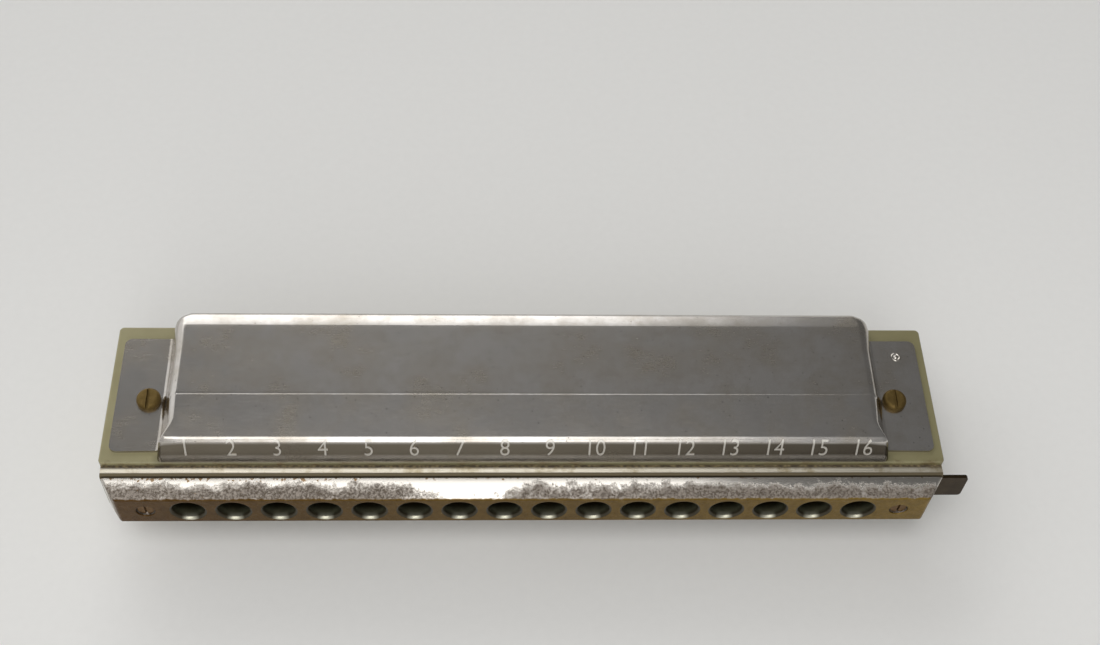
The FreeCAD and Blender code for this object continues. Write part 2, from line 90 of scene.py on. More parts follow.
# Cream moulded plastic, aged: a faint cloudy mottle, a soft sheen, brown dirt along the front rim,
# and a painted highlight on its edges, 0.5 mm wide, which makes them paler.
cream_plastic, tree, shader, place = new_material("aged cream moulded plastic")
cloud = node(tree, "TexNoise", {"Vector": place, "Scale": 1 / (9 * mm), "Detail": 4.0})
grain = node(tree, "TexNoise", {"Vector": place, "Scale": 1 / (0.6 * mm), "Detail": 3.0})
stain = node(tree, "TexNoise", {"Vector": place, "Scale": 1 / (3.5 * mm), "Detail": 5.0, "Roughness": 0.7})
where = node(tree, "SeparateXYZ", {0: place})
near_rim = node(tree, "MapRange", {"Value": where.outputs["Y"], "From Min": -20.2 * mm,
                                   "From Max": -21.3 * mm})
dirt = node(tree, "MapRange", {"Value": stain.outputs["Fac"], "From Min": 0.5, "From Max": 0.68,
                               "To Min": 0.0, "To Max": 0.9})
rim_dirt = node(tree, "Math", {0: near_rim.outputs[0], 1: dirt.outputs[0]}, operation="MULTIPLY")
cream = node(tree, "Mix", {0: cloud.outputs["Fac"], 6: linear("#7C7553"), 7: linear("#9F9874")},
             data_type="RGBA")
# Darker on the strip of comb in front of the covers' front walls: partly dirt, partly painted shade under the
# walls.
from_middle = node(tree, "Math", {0: where.outputs["X"]}, operation="ABSOLUTE")
by_cover = node(tree, "MapRange", {"Value": from_middle.outputs[0], "From Min": 79 * mm, "From Max": 77 * mm,
                                   "To Min": 0.0, "To Max": 0.55})
front_strip = node(tree, "MapRange", {"Value": where.outputs["Y"], "From Min": -19.4 * mm,
                                      "From Max": -20 * mm})
# Painted highlight: edges that the shader finds, 0.5 mm wide, are made paler.
edges = node(tree, "Bevel", {"Radius": 0.5 * mm}, samples=4)
true_face = node(tree, "NewGeometry")
turned = node(tree, "VectorMath", {0: edges.outputs[0], 1: true_face.outputs["True Normal"]},
              operation="DOT_PRODUCT")
painted_highlight = node(tree, "MapRange", {"Value": turned.outputs["Value"], "From Min": 0.995, "From Max": 0.9,
                                 "To Min": 0.0, "To Max": 0.5})
grime_and_cover_shade = node(tree, "Math", {0: by_cover.outputs[0], 1: front_strip.outputs[0]}, operation="MULTIPLY")
grime_and_shade = node(tree, "Mix", {0: grime_and_cover_shade.outputs[0], 6: cream.outputs[2], 7: linear("#4E4930")}, data_type="RGBA")
dirt_and_shadow = node(tree, "Mix", {0: rim_dirt.outputs[0], 6: grime_and_shade.outputs[2], 7: linear("#5E4524")},
             data_type="RGBA")
# Painted shade: the comb grows darker towards the right end, away from the light.
right_shade = node(tree, "MapRange", {"Value": where.outputs["X"], "From Min": 10 * mm, "From Max": 90 * mm,
                               "To Min": 0.0, "To Max": 0.42})
right_shaded = node(tree, "Mix", {0: right_shade.outputs[0], 6: dirt_and_shadow.outputs[2], 7: linear("#5F5A38")}, data_type="RGBA")
pale = node(tree, "Mix", {0: painted_highlight.outputs[0], 6: right_shaded.outputs[2], 7: linear("#B3AC87")}, data_type="RGBA")
tree.links.new(pale.outputs[2], shader.inputs["Base Color"])
sheen = node(tree, "MapRange", {"Value": grain.outputs["Fac"], "To Min": 0.34, "To Max": 0.52})
tree.links.new(sheen.outputs[0], shader.inputs["Roughness"])
relief = node(tree, "Bump", {"Height": grain.outputs["Fac"], "Strength": 0.25, "Distance": 0.04 * mm})
tree.links.new(relief.outputs[0], shader.inputs["Normal"])
finish_of(cream_plastic, "comb")


# ------------------------------------------------------------------ reed plates, reeds, valves and nails
# Two rolled brass plates with thirty-two slots each. A milled brass reed is riveted over each slot,
# and a thin plastic valve on the other side closes it. Ten nails hold a plate on the comb.

# Rolled brass, lapped lengthways: fine straight lines, brown spots of tarnish.
lapped_brass, tree, shader, place = new_material("lapped reed brass")
lines = node(tree, "Mapping", {"Vector": place, "Scale": (1 / (12 * mm), 1 / (0.25 * mm), 1 / (0.25 * mm))})
lapping = node(tree, "TexNoise", {"Vector": lines.outputs[0], "Scale": 1.0, "Detail": 2.0})
spots = node(tree, "TexNoise", {"Vector": place, "Scale": 1 / (2.5 * mm), "Detail": 5.0, "Roughness": 0.65})
tarnish = node(tree, "MapRange", {"Value": spots.outputs["Fac"], "From Min": 0.48, "From Max": 0.75,
                                  "To Min": 0.0, "To Max": 0.7})
brass = node(tree, "Mix", {0: tarnish.outputs[0], 6: linear("#C6A055"), 7: linear("#6E4E22")},
             data_type="RGBA")
tree.links.new(brass.outputs[2], shader.inputs["Base Color"])
shader.inputs["Metallic"].default_value = 1.0
satin = node(tree, "MapRange", {"Value": lapping.outputs["Fac"], "To Min": 0.24, "To Max": 0.42})
tree.links.new(satin.outputs[0], shader.inputs["Roughness"])
relief = node(tree, "Bump", {"Height": lapping.outputs["Fac"], "Strength": 0.4, "Distance": 0.02 * mm})
tree.links.new(relief.outputs[0], shader.inputs["Normal"])

# Polyester film, 0.1 mm: clear when new, now milky with creases.
valve_film, tree, shader, place = new_material("milky valve film")
crease = node(tree, "TexNoise", {"Vector": place, "Scale": 1 / (1.5 * mm), "Detail": 4.0})
milk = node(tree, "Mix", {0: crease.outputs["Fac"], 6: linear("#A8A493"), 7: linear("#D8D5C8")},
            data_type="RGBA")
tree.links.new(milk.outputs[2], shader.inputs["Base Color"])
shader.inputs["Roughness"].default_value = 0.3
relief = node(tree, "Bump", {"Height": crease.outputs["Fac"], "Strength": 0.3, "Distance": 0.05 * mm})
tree.links.new(relief.outputs[0], shader.inputs["Normal"])

for side in ("upper", "lower"):
    finish_of(lapped_brass, side + "_reed_plate", side + "_blow_reeds", side + "_draw_reeds",
              side + "_reed_rivets", side + "_plate_nails")
    finish_of(valve_film, side + "_outer_valves", side + "_inner_valves")


# ------------------------------------------------------------------ seal, back plate and slide channel
# A cork strip seals the slide's housing against the comb. The housing is a flat back plate and a channel
# folded from sheet, both nickel plated, which hold the slide between them.

# Pressed cork: grains about 0.8 mm across, dark gaps between them.
pressed_cork, tree, shader, place = new_material("pressed cork strip")
grains = node(tree, "TexVoronoi", {"Vector": place, "Scale": 1 / (0.8 * mm)})
shade = node(tree, "MapRange", {"Value": grains.outputs["Distance"], "From Max": 0.7, "To Min": 1.0,
                                "To Max": 0.0})
cork = node(tree, "Mix", {0: shade.outputs[0], 6: linear("#4A4030"), 7: linear("#8A7A58")}, data_type="RGBA")
tree.links.new(cork.outputs[2], shader.inputs["Base Color"])
shader.inputs["Roughness"].default_value = 0.85
relief = node(tree, "Bump", {"Height": shade.outputs[0], "Strength": 0.5, "Distance": 0.1 * mm})
tree.links.new(relief.outputs[0], shader.inputs["Normal"])
finish_of(pressed_cork, "slide_seal")

# Nickel plate on brass sheet, rolled lengthways: warm grey, yellowish where the plating is thin.
rolled_nickel, tree, shader, place = new_material("rolled nickel-plated sheet")
lines = node(tree, "Mapping", {"Vector": place, "Scale": (1 / (14 * mm), 1 / (0.3 * mm), 1 / (0.3 * mm))})
rolling = node(tree, "TexNoise", {"Vector": lines.outputs[0], "Scale": 1.0, "Detail": 3.0})
patches = node(tree, "TexNoise", {"Vector": place, "Scale": 1 / (5 * mm), "Detail": 5.0, "Roughness": 0.7})
thin = node(tree, "MapRange", {"Value": patches.outputs["Fac"], "From Min": 0.5, "From Max": 0.72,
                               "To Min": 0.0, "To Max": 0.8})
nickel = node(tree, "Mix", {0: thin.outputs[0], 6: linear("#E2DAC8"), 7: linear("#A08C5C")}, data_type="RGBA")
where = node(tree, "SeparateXYZ", {0: place})
# Painted shadow: the front of the channel is darkened, and made rougher, along its joint with the mouthpiece.
joint = node(tree, "MapRange", {"Value": where.outputs["Y"], "From Min": -23.35 * mm,
                                "From Max": -23.55 * mm})
dirt_and_shadow = node(tree, "Mix", {0: joint.outputs[0], 6: nickel.outputs[2], 7: linear("#6E6450")}, data_type="RGBA")
tree.links.new(dirt_and_shadow.outputs[2], shader.inputs["Base Color"])
shader.inputs["Metallic"].default_value = 1.0
satin = node(tree, "MapRange", {"Value": rolling.outputs["Fac"], "To Min": 0.2, "To Max": 0.42})
grime_and_shade = node(tree, "Mix", {0: joint.outputs[0], 2: satin.outputs[0], 3: 0.6}, data_type="FLOAT")
tree.links.new(grime_and_shade.outputs[0], shader.inputs["Roughness"])
# Rolled a little round: the surface leans forward over its back half, in front of the comb.
leaning = node(tree, "MapRange", {"Value": where.outputs["Y"], "From Min": -23.35 * mm,
                                  "From Max": -22.5 * mm})
rolled = node(tree, "Bump", {"Height": leaning.outputs[0], "Strength": 1.0, "Distance": 0.205 * mm})
relief = node(tree, "Bump", {"Height": rolling.outputs["Fac"], "Normal": rolled.outputs[0],
                             "Strength": 0.4, "Distance": 0.02 * mm})
tree.links.new(relief.outputs[0], shader.inputs["Normal"])
finish_of(rolled_nickel, "slide_back_plate", "slide_channel")


# ------------------------------------------------------------------ slide, bumpers, spring and post
# The slide is a thin brass strip with two rows of windows. Its bare end sticks out of the housing at
# the right. Rubber sleeves stop it, and a wire spring round a post in the comb pushes it back out.

# Plating worn off by fingers: dark brown tarnish over brass, smeared.
tarnished_slide, tree, shader, place = new_material("tarnished slide strip")
smear = node(tree, "TexNoise", {"Vector": place, "Scale": 1 / (2.2 * mm), "Detail": 6.0, "Roughness": 0.7})
strip = node(tree, "Mix", {0: smear.outputs["Fac"], 6: linear("#2A2217"), 7: linear("#50422F")},
             data_type="RGBA")
tree.links.new(strip.outputs[2], shader.inputs["Base Color"])
shader.inputs["Metallic"].default_value = 1.0
worn = node(tree, "MapRange", {"Value": smear.outputs["Fac"], "To Min": 0.5, "To Max": 0.3})
tree.links.new(worn.outputs[0], shader.inputs["Roughness"])
relief = node(tree, "Bump", {"Height": smear.outputs["Fac"], "Strength": 0.3, "Distance": 0.03 * mm})
tree.links.new(relief.outputs[0], shader.inputs["Normal"])
finish_of(tarnished_slide, "slide")

# Soft grey rubber tube: dull, a little chalky.
rubber, tree, shader, place = new_material("grey rubber tube")
chalk = node(tree, "TexNoise", {"Vector": place, "Scale": 1 / (0.7 * mm), "Detail": 4.0})
dull = node(tree, "Mix", {0: chalk.outputs["Fac"], 6: linear("#2C2A28"), 7: linear("#5A5650")},
            data_type="RGBA")
tree.links.new(dull.outputs[2], shader.inputs["Base Color"])
shader.inputs["Roughness"].default_value = 0.8
finish_of(rubber, "slide_bumpers")

# Drawn steel wire: bright grey with fine rings from the die, a few brown specks.
drawn_steel, tree, shader, place = new_material("drawn spring steel")
specks = node(tree, "TexNoise", {"Vector": place, "Scale": 1 / (0.9 * mm), "Detail": 5.0})
rust = node(tree, "MapRange", {"Value": specks.outputs["Fac"], "From Min": 0.56, "From Max": 0.7,
                               "To Min": 0.0, "To Max": 0.8})
steel = node(tree, "Mix", {0: rust.outputs[0], 6: linear("#A9A59D"), 7: linear("#5B3D22")}, data_type="RGBA")
tree.links.new(steel.outputs[2], shader.inputs["Base Color"])
shader.inputs["Metallic"].default_value = 1.0
shader.inputs["Roughness"].default_value = 0.3
finish_of(drawn_steel, "spring_post")

post = Vector((85.6, -13.0, 10.8))          # the post's axis, at the height of the leg
wire_radius = 0.35
coil_radius = 1.25
coil_rise = 1.8
coil_turns = 2.25
slide_hole = Vector((87.9, -24.05, 10.8))   # where the leg goes through the slide
anchor_reach = 2.4
leg_points = 14

wire = bpy.data.curves.new("spring_wire", "CURVE")
wire.dimensions = "3D"
wire.bevel_depth = wire_radius * mm
wire.bevel_resolution = 3
wire.use_fill_caps = True
spline = wire.splines.new("POLY")
coil_steps = 60
coil_start = post + Vector((coil_radius, 0, 0))
route = [slide_hole.lerp(coil_start, i / leg_points) for i in range(leg_points)]
for i in range(coil_steps + 1):
    turn = 2 * math.pi * coil_turns * i / coil_steps
    route.append(post + Vector((coil_radius * math.cos(turn), coil_radius * math.sin(turn),
                                coil_rise * i / coil_steps)))
route.append(route[-1] - Vector((anchor_reach, 0, 0)))
spline.points.add(len(route) - 1)
for point, at in zip(spline.points, route):
    point.co = (*(at * mm), 1)
rough_spring = bpy.data.objects.new("rough_spring", wire)
spring = bpy.data.objects.new("slide_return_spring", bpy.data.meshes.new_from_object(rough_spring))
bpy.data.objects.remove(rough_spring)
bpy.context.scene.collection.objects.link(spring)
spring.data.shade_smooth()
spring.data.materials.append(drawn_steel)
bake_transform(spring)
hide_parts("slide_spring")


# ------------------------------------------------------------------ mouthpiece and its screws
# A brass bar, nickel plated, with sixteen round holes. Its long faces slope towards the lips and are
# slightly crowned. The plating is pitted, and the front face carries a painted reflection in brown and gold.

mouth_back = -24.3
mouth_front = -29.25
mouth_half_back = 89.3
mouth_half_front = 86.0
mouth_height_back = 6.2
mouth_height_front = 4.8
mouth_middle = 15.0
mouth_crown = 0.05
mouth_edge = 0.5
hole_pitch = 9.5
hole_count = 16
throat_radius = 3.35
rim_radius = 4.05
screw_x = 80.1
recess_radius = 2.0
recess_depth = 1.3
recess_lip = 0.15
lip_steps = 6
hole_sides = 48
overcut = 1                # the drills run this far past the bar's faces
hole_places = [(i - (hole_count - 1) / 2) * hole_pitch for i in range(hole_count)]


def in_millimetres(bm, name, *materials):
    """Turns a bmesh built in millimetres into an object in metres, in its place."""
    bmesh.ops.scale(bm, vec=(mm, mm, mm), verts=bm.verts)
    mesh = bpy.data.meshes.new(name)
    bm.to_mesh(mesh)
    bm.free()
    mesh.shade_smooth()
    for material in materials:
        mesh.materials.append(material)
    piece = bpy.data.objects.new(name, mesh)
    bpy.context.scene.collection.objects.link(piece)
    return piece


def settle(piece):
    """Makes the piece's modifiers part of its mesh."""
    shown = piece.evaluated_get(bpy.context.evaluated_depsgraph_get())
    mesh = bpy.data.meshes.new_from_object(shown)
    piece.modifiers.clear()
    piece.data = mesh
    return piece


bm = bmesh.new()
bmesh.ops.create_cube(bm, size=2)
for v in bm.verts:
    front = v.co.y < 0
    half = mouth_half_front if front else mouth_half_back
    height = mouth_height_front if front else mouth_height_back
    v.co = Vector((v.co.x * half, mouth_front if front else mouth_back, mouth_middle + v.co.z * height))
for share in (0.15, 0.3, 0.45, 0.6, 0.75, 0.9):
    bmesh.ops.bisect_plane(bm, geom=bm.verts[:] + bm.edges[:] + bm.faces[:],
                           plane_co=(0, mouth_back + share * (mouth_front - mouth_back), 0),
                           plane_no=(0, 1, 0))
for v in bm.verts:
    share = (v.co.y - mouth_back) / (mouth_front - mouth_back)
    v.co.z += math.copysign(mouth_crown * 4 * share * (1 - share), v.co.z - mouth_middle)
corners = [e for e in bm.edges
           if abs(e.verts[0].co.y - e.verts[1].co.y) > 0.1
           or all(abs(v.co.y - mouth_front) < 0.01 for v in e.verts)
           or all(abs(v.co.y - mouth_back) < 0.01 for v in e.verts)]
bmesh.ops.bevel(bm, geom=corners, offset=mouth_edge, segments=4, profile=0.5, affect="EDGES", material=-1)
bmesh.ops.recalc_face_normals(bm, faces=bm.faces)
mouthpiece = in_millimetres(bm, "mouthpiece_bar")

bm = bmesh.new()
for x in hole_places + [-screw_x, screw_x]:
    screw = abs(x) == screw_x
    deep = mouth_front + recess_depth if screw else mouth_back + overcut
    throat = recess_radius if screw else throat_radius
    lip = recess_lip if screw else rim_radius - throat_radius
    start = bm.verts.new((x, deep, mouth_middle))
    wall = bm.verts.new((x + throat, deep, mouth_middle))
    path = [start, wall]
    for step in range(lip_steps + 1):
        turn = math.radians(90 * step / lip_steps)
        path.append(bm.verts.new((x + throat + lip * (1 - math.cos(turn)),
                                  mouth_front + lip * (1 - math.sin(turn)), mouth_middle)))
    path.append(bm.verts.new((x + throat + lip, mouth_front - overcut, mouth_middle)))
    path.append(bm.verts.new((x, mouth_front - overcut, mouth_middle)))
    edges = [bm.edges.new(pair) for pair in zip(path, path[1:])]
    bmesh.ops.spin(bm, geom=path + edges, cent=(x, 0, mouth_middle), axis=(0, 1, 0), angle=2 * math.pi,
                   steps=hole_sides, use_merge=True)
bmesh.ops.remove_doubles(bm, verts=bm.verts, dist=0.001)
bmesh.ops.recalc_face_normals(bm, faces=bm.faces)
drills = in_millimetres(bm, "drills")
cut = mouthpiece.modifiers.new("holes", "BOOLEAN")
cut.object = drills
cut.solver = "EXACT"
settle(mouthpiece)
bpy.data.objects.remove(drills)
even = mouthpiece.modifiers.new("even shading", "WEIGHTED_NORMAL")
even.keep_sharp = False

# Nickel plate over brass. Pits and rust specks in the plating; on the front face a ragged-edged brown, a
# painted reflection of brown fabric below it.
worn_nickel, tree, shader, place = new_material("worn nickel plate over brass")
where = node(tree, "SeparateXYZ", {0: place})
ragged = node(tree, "TexNoise", {"Vector": place, "Scale": 1 / (1.6 * mm), "Detail": 6.0, "Roughness": 0.7})
reach = node(tree, "Math", {0: ragged.outputs["Fac"], 1: 0.9 * mm, 2: where.outputs["Y"]},
             operation="MULTIPLY_ADD")
front = node(tree, "MapRange", {"Value": reach.outputs[0], "From Min": -28.45 * mm, "From Max": -28.65 * mm})
pits = node(tree, "TexNoise", {"Vector": place, "Scale": 1 / (0.5 * mm), "Detail": 4.0, "Roughness": 0.8})
pit = node(tree, "MapRange", {"Value": pits.outputs["Fac"], "From Min": 0.46, "From Max": 0.58})
crowd = node(tree, "TexNoise", {"Vector": place, "Scale": 1 / (5 * mm), "Detail": 8.0, "Roughness": 0.8})
lower = node(tree, "MapRange", {"Value": where.outputs["Y"], "From Min": -25.2 * mm, "From Max": -27.8 * mm,
                                "To Min": -0.14, "To Max": 0.16})
offset = node(tree, "Math", {0: where.outputs["X"], 1: 13 * mm}, operation="ADD")
from_middle = node(tree, "Math", {0: offset.outputs[0]}, operation="ABSOLUTE")
kissed = node(tree, "MapRange", {"Value": from_middle.outputs[0], "From Min": 3 * mm, "From Max": 14 * mm,
                                 "To Min": -0.3, "To Max": 0.0})
lip_pitting_and_painted_wall = node(tree, "Math", {0: lower.outputs[0], 1: kissed.outputs[0]}, operation="ADD")
crowding = node(tree, "Math", {0: crowd.outputs["Fac"], 1: lip_pitting_and_painted_wall.outputs[0]}, operation="ADD")
many = node(tree, "MapRange", {"Value": crowding.outputs[0], "From Min": 0.42, "From Max": 0.62})
pitting = node(tree, "Math", {0: pit.outputs[0], 1: many.outputs[0]}, operation="MULTIPLY")
haze = node(tree, "MapRange", {"Value": crowding.outputs[0], "From Min": 0.4, "From Max": 0.64,
                               "To Min": 0.14, "To Max": 0.55})
hazed = node(tree, "Mix", {0: many.outputs[0], 6: linear("#C8C3BB"), 7: linear("#A0978D")}, data_type="RGBA")
plate = node(tree, "Mix", {0: pitting.outputs[0], 6: hazed.outputs[2], 7: linear("#6C6257")},
             data_type="RGBA")
# Brown rust along the back edge, thickest at the low notes, and a painted shadow in the joint with the
# channel.
rusting = node(tree, "TexNoise", {"Vector": place, "Scale": 1 / (0.8 * mm), "Detail": 3.0})
back_edge = node(tree, "MapRange", {"Value": where.outputs["Y"], "From Min": -25.9 * mm,
                                    "From Max": -24.9 * mm, "To Min": 0.0, "To Max": 0.16})
low_notes = node(tree, "MapRange", {"Value": where.outputs["X"], "From Min": -30 * mm, "From Max": -45 * mm,
                                    "To Min": -0.09, "To Max": 0.0})
rust_reach = node(tree, "Math", {0: back_edge.outputs[0], 1: low_notes.outputs[0]}, operation="ADD")
rust_level = node(tree, "Math", {0: rusting.outputs["Fac"], 1: rust_reach.outputs[0]}, operation="ADD")
rust = node(tree, "MapRange", {"Value": rust_level.outputs[0], "From Min": 0.68, "From Max": 0.76,
                               "To Min": 0.0, "To Max": 0.85})
rusty = node(tree, "Mix", {0: rust.outputs[0], 6: plate.outputs[2], 7: linear("#7A5A2C")}, data_type="RGBA")
joint = node(tree, "MapRange", {"Value": where.outputs["Y"], "From Min": -24.75 * mm, "From Max": -24.6 * mm})
dirt_and_shadow = node(tree, "Mix", {0: joint.outputs[0], 6: rusty.outputs[2], 7: linear("#4A4234")}, data_type="RGBA")
# The painted reflection on the front face is darker and browner at the low notes than at the high ones.
along = node(tree, "MapRange", {"Value": where.outputs["X"], "From Min": -86 * mm, "From Max": 86 * mm})
low_note_reflection = node(tree, "Mix", {0: ragged.outputs["Fac"], 6: linear("#3A2812"), 7: linear("#6E5230")},
               data_type="RGBA")
high_note_reflection = node(tree, "Mix", {0: ragged.outputs["Fac"], 6: linear("#5E4A22"), 7: linear("#A08648")},
              data_type="RGBA")
painted_lining_reflection = node(tree, "Mix", {0: along.outputs[0], 6: low_note_reflection.outputs[2], 7: high_note_reflection.outputs[2]}, data_type="RGBA")
colour = node(tree, "Mix", {0: front.outputs[0], 6: dirt_and_shadow.outputs[2], 7: painted_lining_reflection.outputs[2]}, data_type="RGBA")
tree.links.new(colour.outputs[2], shader.inputs["Base Color"])
shader.inputs["Metallic"].default_value = 1.0
grime_and_shade = node(tree, "Mix", {0: joint.outputs[0], 2: haze.outputs[0], 3: 0.85}, data_type="FLOAT")
dull = node(tree, "Mix", {0: front.outputs[0], 2: grime_and_shade.outputs[0], 3: 0.42}, data_type="FLOAT")
tree.links.new(dull.outputs[0], shader.inputs["Roughness"])
hollow = node(tree, "Math", {0: 1.0, 1: pitting.outputs[0]}, operation="SUBTRACT")
relief = node(tree, "Bump", {"Height": hollow.outputs[0], "Strength": 0.6, "Distance": 0.06 * mm})
tree.links.new(relief.outputs[0], shader.inputs["Normal"])

# Inside the holes the plating has gone a dull green. The rounded lips carry painted shade, dark but for a
# painted glint at the bottom of each. The holes are evenly spaced, so the distance from a hole's middle
# repeats.
green_throat, tree, shader, place = new_material("verdigris in the mouth holes")
bloom = node(tree, "TexNoise", {"Vector": place, "Scale": 1 / (1.4 * mm), "Detail": 5.0})
where = node(tree, "SeparateXYZ", {0: place})
green = node(tree, "Mix", {0: bloom.outputs["Fac"], 6: linear("#4A4B3A"), 7: linear("#83836A")},
             data_type="RGBA")
# Painted glint at the bottom of each lip; the rest of the lip is painted dark as shade.
beside = node(tree, "Math", {0: where.outputs["X"], 1: hole_pitch / 2 * mm}, operation="PINGPONG")
glint_width = node(tree, "MapRange", {"Value": beside.outputs[0], "From Min": (hole_pitch / 2 - 1.9) * mm,
                                       "From Max": (hole_pitch / 2 - 0.5) * mm})
glint_level = node(tree, "MapRange", {"Value": where.outputs["Z"], "From Min": (mouth_middle - 2.6) * mm,
                                       "From Max": (mouth_middle - 3.2) * mm})
lip_band = node(tree, "MapRange", {"Value": where.outputs["Y"], "From Min": (mouth_front + 1.6) * mm,
                                     "From Max": (mouth_front + 0.7) * mm})
painted_highlight = node(tree, "Math", {0: glint_width.outputs[0], 1: glint_level.outputs[0]}, operation="MULTIPLY")
painted_glint = node(tree, "Math", {0: painted_highlight.outputs[0], 1: lip_band.outputs[0]}, operation="MULTIPLY")
lip = node(tree, "Mix", {0: lip_band.outputs[0], 6: green.outputs[2], 7: linear("#3B3526")},
           data_type="RGBA")
colour = node(tree, "Mix", {0: painted_glint.outputs[0], 6: lip.outputs[2], 7: linear("#C9C6B2")}, data_type="RGBA")
tree.links.new(colour.outputs[2], shader.inputs["Base Color"])
shine = node(tree, "MapRange", {"Value": painted_glint.outputs[0], "To Min": 0.45, "To Max": 0.9})
tree.links.new(shine.outputs[0], shader.inputs["Metallic"])
shader.inputs["Roughness"].default_value = 0.4

mouthpiece.data.materials.clear()
mouthpiece.data.materials.append(worn_nickel)
mouthpiece.data.materials.append(green_throat)
for face in mouthpiece.data.polygons:
    middle = face.center / mm
    from_hole = min(math.hypot(middle.x - x, middle.z - mouth_middle) for x in hole_places)
    face.material_index = 1 if from_hole < rim_radius - 0.12 and middle.y > mouth_front + 0.01 else 0
mouthpiece.data.shade_smooth()
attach(mouthpiece, "instrument")
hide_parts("mouthpiece")

# Steel screws gone brown, with bright scratches where a screwdriver slipped.
brown_steel, tree, shader, place = new_material("browned steel screw")
specks = node(tree, "TexNoise", {"Vector": place, "Scale": 1 / (0.5 * mm), "Detail": 5.0})
brown = node(tree, "Mix", {0: specks.outputs["Fac"], 6: linear("#4A3018"), 7: linear("#8C6F48")},
             data_type="RGBA")
tree.links.new(brown.outputs[2], shader.inputs["Base Color"])
shader.inputs["Metallic"].default_value = 1.0
shader.inputs["Roughness"].default_value = 0.34
relief = node(tree, "Bump", {"Height": specks.outputs["Fac"], "Strength": 0.4, "Distance": 0.04 * mm})
tree.links.new(relief.outputs[0], shader.inputs["Normal"])
finish_of(brown_steel, "mouthpiece_screws")


# ------------------------------------------------------------------ covers
# Two covers drawn in a press from 0.6 mm sheet and nickel plated: a flat back half, a front half that
# falls to a bend over the numbers, leaning ends with flanges for the bolts, and an open, hemmed back.

comb_top = 22.0
cover_top = 30.0
sheet = 0.6
foot_half = 77.6
foot_front = -21.4
foot_back = 12.9
foot_radius_front = 1.0
foot_radius_back = 2.4
flat_front = -18.7
flat_back = 10.3
flat_radius_front = 0.5
flat_radius_back = 1.0
shoulder_half = 74.9       # where the leaning end would meet the top, with no bend
bend_share = 0.66          # the flat stops short of that by this share of the bend's radius
gusset_start = -14.0       # the end wall turns out from here to the front corner
gusset_end = -20.0
gusset_reach = 2.5
back_reach = 0.6           # the top grows this much wider towards the back corners
bend_front = 1.6
bend_back = 3.0
bend_end = 2.2
flange_half = 87.9
flange_front = -19.1
flange_back = 9.4
flange_radius = 1.6
fillet = 0.8
hem_radius = 0.8
whole_height = 30.0        # from the flat of one cover to the flat of the other
edge_break = 0.26          # the sharp edges of the sheet are broken by this much
crease_line = ((-9.2, 30.0), (-9.42, 29.92), (-9.56, 29.885), (-18.7, 28.16))
roll_start = 7.6           # behind this the flat rolls gently down towards the back bend
roll_end = 9.2             # and from here it runs on straight
roll_radius = 10.4
corner_start = 1.0         # from here to corner_end the bend along an end opens to the back's
corner_end = 8.2
corner_steps = 8
bend_steps = 10
hem_steps = 7
fillet_steps = 5
end_stations = 22
opening_stations = 4


def smooth(low, high, value):
    """0 up to low, 1 from high on, and an even curve between them."""
    share = min(1.0, max(0.0, (value - low) / (high - low)))
    return share * share * (3 - 2 * share)


def top_height(y):
    """Height of the cover's top at a place from front to back."""
    if y > roll_start:
        rolled = min(y, roll_end) - roll_start
        straight = y - roll_start - rolled
        return cover_top - rolled ** 2 / (2 * roll_radius) - straight * rolled / roll_radius
    if y >= crease_line[0][0]:
        return cover_top
    for (y0, z0), (y1, z1) in zip(crease_line, crease_line[1:]):
        if y >= y1 or y1 == crease_line[-1][0]:
            return z0 + (z1 - z0) * (y - y0) / (y1 - y0)


def end_bend(y):
    """Radius of the bend along an end: tight in front, as large as the back's at the back."""
    return bend_end + (bend_back - bend_end) * smooth(corner_start, corner_end, y)


def flat_y(foot_y):
    """Place on the flat, from front to back, that a place on the foot belongs to."""
    low, high = foot_front + foot_radius_front, foot_back - foot_radius_back
    share = (foot_y - low) / (high - low)
    return (flat_front + flat_radius_front
            + share * (flat_back - flat_radius_back - flat_front - flat_radius_front))


def flat_x(y):
    """Half width of the flat, which widens over the gusset and towards the back corners."""
    in_front = gusset_reach * smooth(-gusset_start, -gusset_end, -y)
    behind = back_reach * smooth(corner_start, corner_end, y)
    return shoulder_half - bend_share * end_bend(y) + in_front + behind


def on_flat(foot):
    """The point on the edge of the flat from which the sheet bends down to this point of the foot."""
    side = math.copysign(1, foot.x)
    front = foot.y < 0
    radius = foot_radius_front if front else foot_radius_back
    line = foot_front + radius if front else foot_back - radius
    if foot_front + foot_radius_front < foot.y < foot_back - foot_radius_back:
        y = flat_y(foot.y)
        return Vector((side * flat_x(y), y, top_height(y)))
    flat_radius = flat_radius_front if front else flat_radius_back
    flat_line = flat_front + flat_radius if front else flat_back - flat_radius
    centre = Vector((side * (foot_half - radius), line))
    if abs(foot.x) <= abs(centre.x):
        turn = Vector((0, math.copysign(1, foot.y)))
        x = side * min(abs(foot.x), flat_x(flat_line) - flat_radius)
    else:
        turn = (Vector((foot.x, foot.y)) - centre) / radius
        x = side * (flat_x(flat_line) - flat_radius) + flat_radius * turn.x
    y = flat_line + flat_radius * turn.y
    return Vector((x, y, top_height(y)))


def bend_at(foot):
    """Radius of the bend above a point of the foot."""
    if foot.y > foot_back - foot_radius_back:
        return bend_back
    across = max(0.0, min(1.0, (foot_front + foot_radius_front - foot.y) / foot_radius_front))
    return end_bend(flat_y(foot.y)) * (1 - across) + bend_front * across


opening_half = flat_x(flat_back - flat_radius_back) - flat_radius_back


